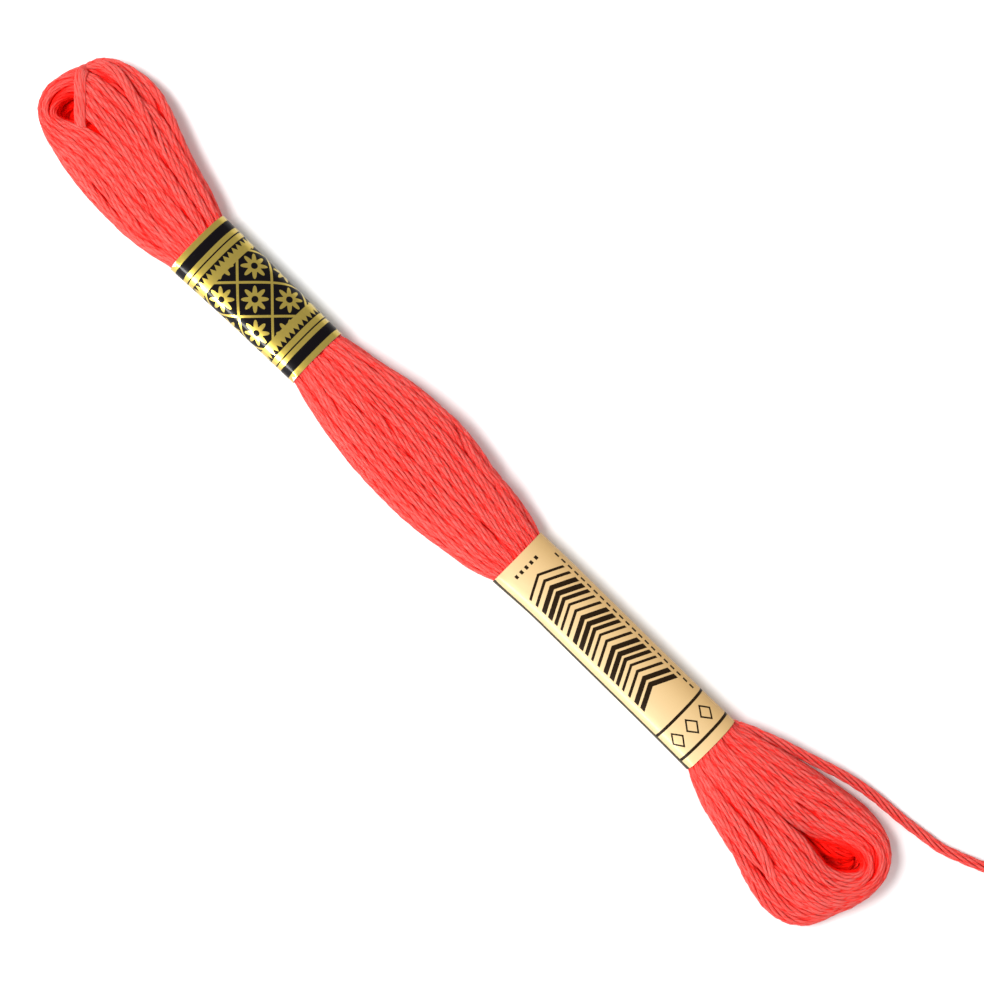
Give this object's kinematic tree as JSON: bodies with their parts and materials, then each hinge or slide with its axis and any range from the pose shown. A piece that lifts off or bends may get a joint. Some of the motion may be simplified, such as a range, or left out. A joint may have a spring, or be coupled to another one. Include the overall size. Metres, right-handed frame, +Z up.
{
  "type": "skein of embroidery floss",
  "caption": "Flat-lying hank of six-strand embroidery floss with a looped end at each side, held by a short and a long paper band, with a loose thread end.",
  "frame": {"origin": "middle of the underside of the hank's box, on the surface it rests on, the loose end left out", "axes": "+X along the hank from the end by the short band to the end by the long band, +Y towards the side where the loose end leaves, +Z up"},
  "size_m": [0.189, 0.031, 0.0087],
  "materials": {
    "floss": "soft sheen of mercerised cotton",
    "gold_paper": "gold foil and black print, glossy",
    "cream_paper": "pale gold satin print"
  },
  "bodies": {
    "root": {"skein": "floss", "band_short": "gold_paper", "band_long": "cream_paper", "loose_end": "floss"}
  },
  "joints": []
}
